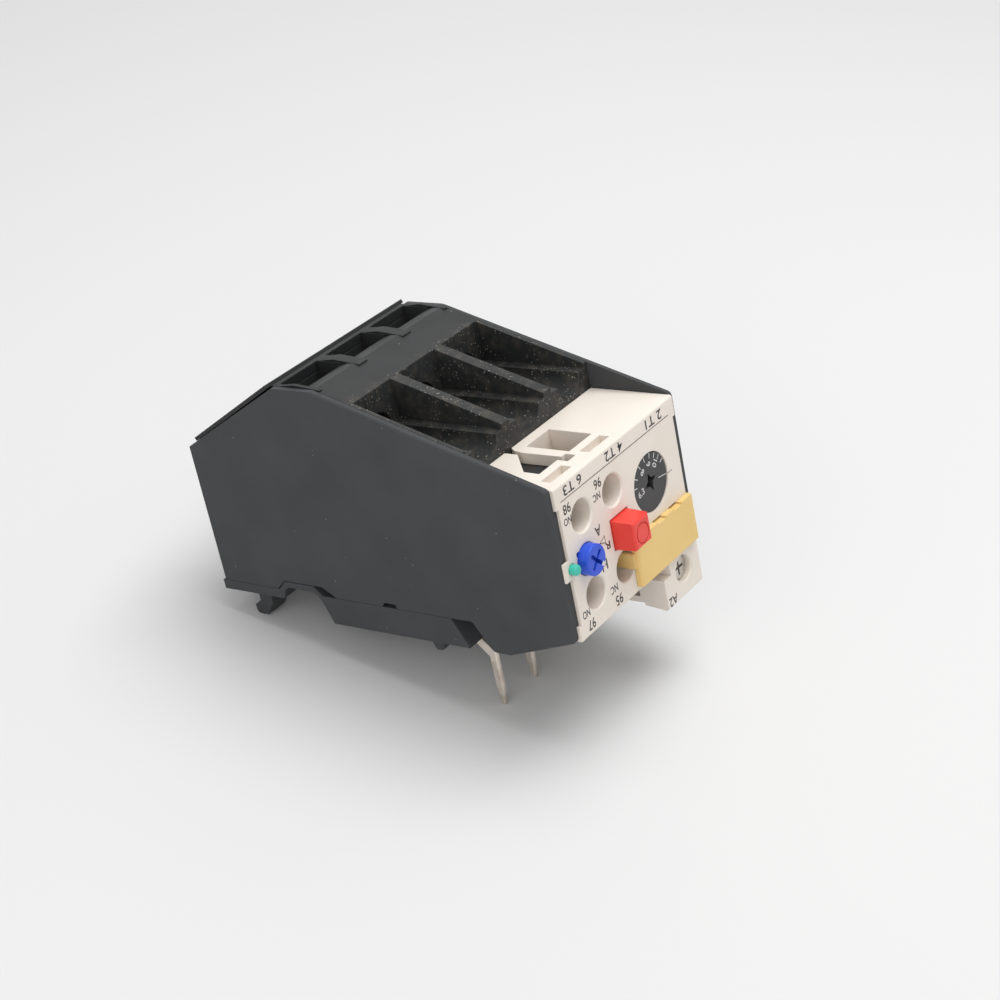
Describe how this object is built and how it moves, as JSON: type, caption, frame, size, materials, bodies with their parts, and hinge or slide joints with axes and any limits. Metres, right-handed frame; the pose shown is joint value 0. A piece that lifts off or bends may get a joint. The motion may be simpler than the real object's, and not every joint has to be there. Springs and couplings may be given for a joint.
{
  "type": "thermal overload relay",
  "caption": "Plug-on thermal overload relay: sloped black case with screw pockets and wire slots, cream front with dial, stop button, reset knob and trip flag, pins and hooks below.",
  "frame": {"origin": "tip of the middle plug pin", "axes": "+X to the right seen from the front, +Y from the front face to the rear, +Z from the pins to the side where the load wires go in"},
  "size_m": [0.045, 0.0959, 0.0694],
  "materials": {
    "black_plastic": "moulded, slightly satin",
    "dark_plastic": "moulded, satin",
    "cream_plastic": "moulded, satin",
    "yellow_plastic": "moulded, matt",
    "red_plastic": "moulded, glossy",
    "blue_plastic": "moulded, glossy",
    "green_plastic": "moulded, glossy",
    "white_plastic": "moulded, matt",
    "tin_plated": "tin plated, dull",
    "zinc_steel": "zinc plated",
    "spring_steel": "drawn wire",
    "bimetal": "rolled strip",
    "brass": "stamped strip",
    "heater_mica": "wound mica sleeve"
  },
  "bodies": {
    "case": {"housing": "dark_plastic", "left_cover": "black_plastic", "right_cover": "black_plastic", "base": "black_plastic", "rear_cover": "black_plastic", "wire_guard": "black_plastic", "front_panel": "cream_plastic", "marking_plate": "yellow_plastic", "coil_block": "cream_plastic", "terminal_95": "brass", "terminal_96": "brass", "terminal_97": "brass", "terminal_98": "brass", "plug_pin_1": "tin_plated", "plug_pin_2": "tin_plated", "plug_pin_3": "tin_plated", "aux_screws": "zinc_steel", "aux_washers": "zinc_steel", "main_screws": "zinc_steel", "cage_clamps": "zinc_steel", "terminal_bars": "tin_plated", "bimetals": "bimetal", "heaters": "heater_mica", "coil_screw": "zinc_steel", "coil_washer": "zinc_steel", "coil_terminal": "tin_plated", "trip_pivot": "zinc_steel", "setting_pivot": "zinc_steel", "stop_spring": "spring_steel", "reset_spring": "spring_steel"},
    "dial": {"setting_dial": "dark_plastic", "setting_cam": "white_plastic"},
    "setting_lever": {"setting_lever": "white_plastic"},
    "stop_button": {"stop_button": "red_plastic"},
    "reset_stem": {"reset_stem": "blue_plastic"},
    "reset_knob": {"reset_knob": "blue_plastic"},
    "slide": {"trip_slide": "white_plastic"},
    "trip_lever": {"trip_lever": "white_plastic"},
    "carrier": {"contact_carrier": "white_plastic", "trip_flag": "green_plastic"},
    "break_contact": {"break_blade": "brass"},
    "make_contact": {"make_blade": "brass"}
  },
  "joints": [
    {"name": "dial_turn", "type": "hinge", "parent": "case", "child": "dial", "pos_m": [0.0149, -0.0265, 0.03985], "axis": [0, 1, 0], "range_deg": [-90, 90]},
    {"name": "setting_lever_turn", "type": "hinge", "parent": "case", "child": "setting_lever", "pos_m": [0.021, -0.0025, 0.0401], "axis": [0, 0, 1], "range_deg": [-3.6, 3.6]},
    {"name": "stop_push", "type": "slide", "parent": "case", "child": "stop_button", "axis": [0, 1, 0], "range_m": [0, 0.0024], "stiffness_N_per_m": 400, "springref_m": -0.002, "deforming": ["stop_spring"]},
    {"name": "reset_push", "type": "slide", "parent": "case", "child": "reset_stem", "axis": [0, 1, 0], "range_m": [0, 0.0019], "stiffness_N_per_m": 400, "springref_m": -0.002, "deforming": ["reset_spring"]},
    {"name": "reset_turn", "type": "hinge", "parent": "reset_stem", "child": "reset_knob", "pos_m": [-0.00945, -0.0265, 0.0358], "axis": [0, -1, 0], "range_deg": [0, 80]},
    {"name": "trip_slide_move", "type": "slide", "parent": "case", "child": "slide", "axis": [1, 0, 0], "range_m": [0, 0.0015], "stiffness_N_per_m": 200, "springref_m": -0.001},
    {"name": "trip_lever_turn", "type": "hinge", "parent": "case", "child": "trip_lever", "pos_m": [-0.0066, -0.0005, 0.0438], "axis": [0, 0, 1], "range_deg": [-8.19, 0]},
    {"name": "carrier_move", "type": "slide", "parent": "case", "child": "carrier", "axis": [0, 1, 0], "range_m": [0, 0.00091]},
    {"name": "break_contact_bend", "type": "hinge", "parent": "case", "child": "break_contact", "pos_m": [0.00215, -0.0088, 0.0306], "axis": [-1, 0, 0], "range_deg": [0, 6.85]},
    {"name": "make_contact_bend", "type": "hinge", "parent": "case", "child": "make_contact", "pos_m": [-0.00855, -0.0088, 0.0306], "axis": [-1, 0, 0], "range_deg": [0, 6.85]}
  ],
  "couplings": [
    {"joint": "setting_lever_turn", "follows": "dial_turn", "ratio": 0.03856},
    {"joint": "trip_lever_turn", "follows": "trip_slide_move", "rad_per_m": -93.023},
    {"joint": "carrier_move", "follows": "trip_slide_move", "ratio": 0.6},
    {"joint": "break_contact_bend", "follows": "trip_slide_move", "rad_per_m": 77.419},
    {"joint": "make_contact_bend", "follows": "trip_slide_move", "rad_per_m": 77.419}
  ]
}
